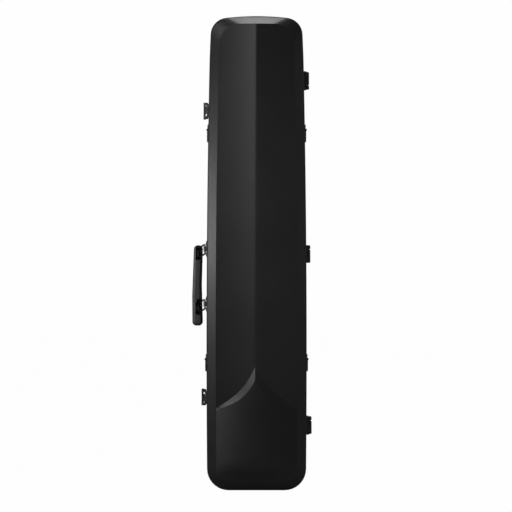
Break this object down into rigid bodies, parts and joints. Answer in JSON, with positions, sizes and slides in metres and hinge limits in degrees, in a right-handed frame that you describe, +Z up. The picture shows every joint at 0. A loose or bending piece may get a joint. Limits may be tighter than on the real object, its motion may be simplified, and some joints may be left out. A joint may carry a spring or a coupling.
{
  "type": "erhu case",
  "caption": "Tall hard shell instrument case with a side-hinged keel-panelled lid, draw latches, folding handle, strap rings and a padded bed.",
  "frame": {"origin": "on the flat lower end, on the case's centre line and halfway through its depth", "axes": "+Z up the case's length, -Y out of the lid, handle and latches at -X, hinges at +X"},
  "size_m": [0.2239, 0.13, 0.88],
  "materials": {
    "shell": "satin moulded black",
    "rim": "matt black",
    "seal": "soft matt black",
    "bed": "short charcoal plush",
    "lining": "short charcoal plush",
    "strap": "woven black",
    "hardware": "fine matt black coating",
    "steel": "plain steel",
    "wire": "dark coated wire",
    "grip": "soft matt black",
    "fitting": "moulded black"
  },
  "bodies": {
    "case_back": {"back_shell": "shell", "back_rim": "rim", "rim_seal": "seal", "lower_bed": "bed", "middle_bed": "bed", "upper_bed": "bed", "neck_strap": "strap", "back_rivets": "hardware", "upper_hinge_back_leaf": "hardware", "upper_hinge_pin": "steel", "middle_hinge_back_leaf": "hardware", "middle_hinge_pin": "steel", "lower_hinge_back_leaf": "hardware", "lower_hinge_pin": "steel", "upper_latch_base": "hardware", "upper_latch_pins": "steel", "lower_latch_base": "hardware", "lower_latch_pins": "steel", "upper_handle_bracket": "hardware", "lower_handle_bracket": "hardware", "upper_left_strap_bracket": "hardware", "upper_right_strap_bracket": "hardware", "lower_left_strap_bracket": "hardware", "lower_right_strap_bracket": "hardware"},
    "lid": {"lid_shell": "shell", "lid_rim": "rim", "lid_lining": "lining", "lid_rivets": "hardware", "upper_hinge_lid_leaf": "hardware", "middle_hinge_lid_leaf": "hardware", "lower_hinge_lid_leaf": "hardware", "upper_latch_keeper": "hardware", "lower_latch_keeper": "hardware", "upper_bow_post": "fitting", "lower_bow_post": "fitting"},
    "upper_lever": {"upper_latch_lever": "hardware"},
    "upper_bail": {"upper_latch_bail": "wire"},
    "upper_catch": {"upper_latch_catch": "hardware"},
    "lower_lever": {"lower_latch_lever": "hardware"},
    "lower_bail": {"lower_latch_bail": "wire"},
    "lower_catch": {"lower_latch_catch": "hardware"},
    "handle_rings": {"upper_handle_ring": "wire", "lower_handle_ring": "wire"},
    "handle_grip": {"handle_grip": "grip"},
    "upper_left_strap_ring": {"upper_left_strap_ring": "wire"},
    "upper_right_strap_ring": {"upper_right_strap_ring": "wire"},
    "lower_left_strap_ring": {"lower_left_strap_ring": "wire"},
    "lower_right_strap_ring": {"lower_right_strap_ring": "wire"},
    "upper_bow_button": {"upper_bow_button": "fitting"},
    "lower_bow_button": {"lower_bow_button": "fitting"},
    "rosin_flap": {"rosin_flap": "bed"}
  },
  "joints": [
    {"name": "lid_hinge", "type": "hinge", "parent": "case_back", "child": "lid", "pos_m": [0.09656, -0.007, 0.4385], "axis": [-0.0073, 0, 1], "range_deg": [0, 105]},
    {"name": "upper_lever_turn", "type": "hinge", "parent": "case_back", "child": "upper_lever", "pos_m": [-0.09514, 0.002, 0.7066], "axis": [0, 0, 1], "range_deg": [0, 110]},
    {"name": "upper_bail_turn", "type": "hinge", "parent": "upper_lever", "child": "upper_bail", "pos_m": [-0.09214, 0.01, 0.7066], "axis": [0, 0, 1], "range_deg": [-110, 0]},
    {"name": "upper_catch_slide", "type": "slide", "parent": "upper_lever", "child": "upper_catch", "axis": [0, 1, 0], "range_m": [0, 0.0035]},
    {"name": "lower_lever_turn", "type": "hinge", "parent": "case_back", "child": "lower_lever", "pos_m": [-0.09893, 0.002, 0.1704], "axis": [0, 0, 1], "range_deg": [0, 110]},
    {"name": "lower_bail_turn", "type": "hinge", "parent": "lower_lever", "child": "lower_bail", "pos_m": [-0.09593, 0.01, 0.1704], "axis": [0, 0, 1], "range_deg": [-110, 0]},
    {"name": "lower_catch_slide", "type": "slide", "parent": "lower_lever", "child": "lower_catch", "axis": [0, 1, 0], "range_m": [0, 0.0035]},
    {"name": "handle_swing", "type": "hinge", "parent": "case_back", "child": "handle_rings", "pos_m": [-0.0968, 0.009, 0.3965], "axis": [0, 0, 1], "range_deg": [0, 105]},
    {"name": "grip_turn", "type": "hinge", "parent": "handle_rings", "child": "handle_grip", "pos_m": [-0.11, 0.026, 0.388], "axis": [0, 0, 1], "range_deg": [-20, 40]},
    {"name": "upper_left_ring_swing", "type": "hinge", "parent": "case_back", "child": "upper_left_strap_ring", "pos_m": [-0.09193, 0.029, 0.672], "axis": [0, 1, 0], "range_deg": [0, 150]},
    {"name": "upper_right_ring_swing", "type": "hinge", "parent": "case_back", "child": "upper_right_strap_ring", "pos_m": [0.09193, 0.029, 0.672], "axis": [0, -1, 0], "range_deg": [0, 150]},
    {"name": "lower_left_ring_swing", "type": "hinge", "parent": "case_back", "child": "lower_left_strap_ring", "pos_m": [-0.09529, 0.029, 0.241], "axis": [0, 1, 0], "range_deg": [0, 150]},
    {"name": "lower_right_ring_swing", "type": "hinge", "parent": "case_back", "child": "lower_right_strap_ring", "pos_m": [0.09529, 0.029, 0.241], "axis": [0, -1, 0], "range_deg": [0, 150]},
    {"name": "upper_bow_button_turn", "type": "hinge", "parent": "lid", "child": "upper_bow_button", "pos_m": [0.05, -0.0265, 0.77], "axis": [0, -1, 0], "range_deg": [0, 90]},
    {"name": "lower_bow_button_turn", "type": "hinge", "parent": "lid", "child": "lower_bow_button", "pos_m": [0.05, -0.0265, 0.12], "axis": [0, -1, 0], "range_deg": [0, 90]},
    {"name": "rosin_flap_lift", "type": "hinge", "parent": "case_back", "child": "rosin_flap", "pos_m": [0.038, -0.0035, 0.559], "axis": [1, 0, 0], "range_deg": [0, 80]}
  ],
  "couplings": [
    {"joint": "upper_bail_turn", "follows": "upper_lever_turn", "ratio": -1},
    {"joint": "lower_bail_turn", "follows": "lower_lever_turn", "ratio": -1}
  ]
}
